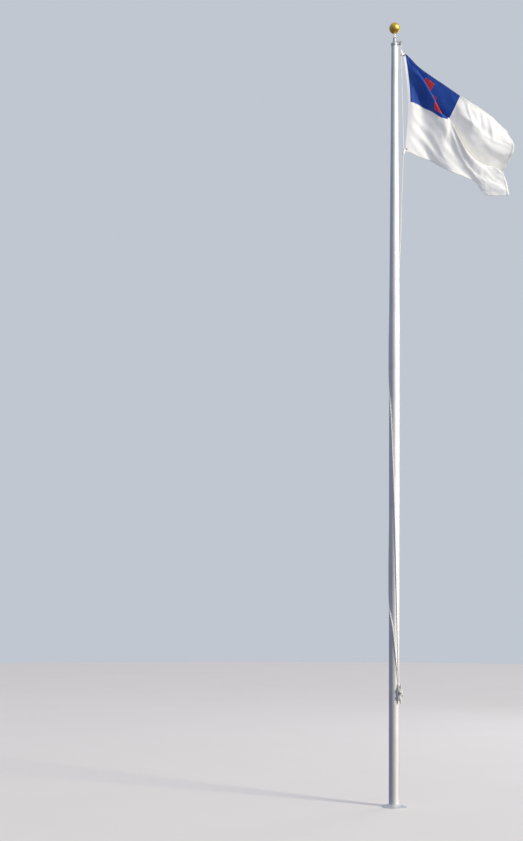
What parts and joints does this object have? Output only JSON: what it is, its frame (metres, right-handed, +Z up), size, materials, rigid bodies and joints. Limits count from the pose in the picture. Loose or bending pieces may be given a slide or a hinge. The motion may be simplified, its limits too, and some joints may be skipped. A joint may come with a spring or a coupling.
{
  "type": "flagpole with flag",
  "caption": "Tapered aluminium flagpole with a ball finial, revolving truck and sheave, halyard, horn cleat, flash collar and a hoisted flag.",
  "frame": {"origin": "on the pole's axis at ground level, in the plane of its cut foot", "axes": "+Z up the pole, +X towards the flag's fly, and -Y towards the viewer of the picture"},
  "size_m": [1.5832, 0.3525, 9.4295],
  "materials": {
    "satin_aluminium": "satin brushed, clear anodised",
    "spun_aluminium": "spun, satin",
    "cast_aluminium": "as cast, lightly weathered",
    "stainless": "dull stainless",
    "white_enamel": "white enamel",
    "gold_anodised": "satin gold anodised",
    "black_nylon": "moulded, matte",
    "halyard_rope": "braided polyester",
    "header_canvas": "canvas, stitched",
    "blue_nylon": "dyed nylon, light sheen",
    "red_nylon": "dyed nylon, light sheen",
    "white_nylon": "dyed nylon, light sheen",
    "brass": "pressed brass"
  },
  "bodies": {
    "pole": {"pole_shaft": "satin_aluminium", "flash_collar": "spun_aluminium", "truck_plug": "cast_aluminium", "bearing_race": "stainless", "stem_nut": "stainless", "finial_rod": "white_enamel", "ball_lower_half": "gold_anodised", "ball_upper_half": "gold_anodised", "cleat_body": "cast_aluminium", "halyard_wraps": "halyard_rope", "halyard_return_end": "halyard_rope", "halyard_down_end": "halyard_rope"},
    "truck": {"truck_head": "cast_aluminium", "sheave_hood": "cast_aluminium", "sheave_pin": "stainless", "halyard_over_sheave": "halyard_rope", "halyard_return_leg": "halyard_rope", "halyard_hoist_leg": "halyard_rope", "halyard_down_leg": "halyard_rope"},
    "sheave": {"sheave_wheel": "black_nylon"},
    "flag": {"flag_header": "header_canvas", "flag_canton": "blue_nylon", "flag_cross": "red_nylon", "flag_field_upper": "white_nylon", "flag_field_lower": "white_nylon", "grommet_upper": "brass", "grommet_lower": "brass", "snap_upper": "stainless", "snap_lower": "stainless", "halyard_between_snaps": "halyard_rope"}
  },
  "joints": [
    {"name": "truck_swivel", "type": "hinge", "parent": "pole", "child": "truck", "pos_m": [0, 0, 9.156], "axis": [0, 0, 1], "continuous": true},
    {"name": "sheave_spin", "type": "hinge", "parent": "truck", "child": "sheave", "pos_m": [0.061, 0, 9.18], "axis": [0, 1, 0], "continuous": true},
    {"name": "flag_hoist", "type": "slide", "parent": "truck", "child": "flag", "axis": [0, 0, 1], "range_m": [-6.05, 0], "deforming": ["halyard_hoist_leg", "halyard_down_leg"]}
  ],
  "couplings": [
    {"joint": "sheave_spin", "follows": "flag_hoist", "rad_per_m": -62.5}
  ]
}
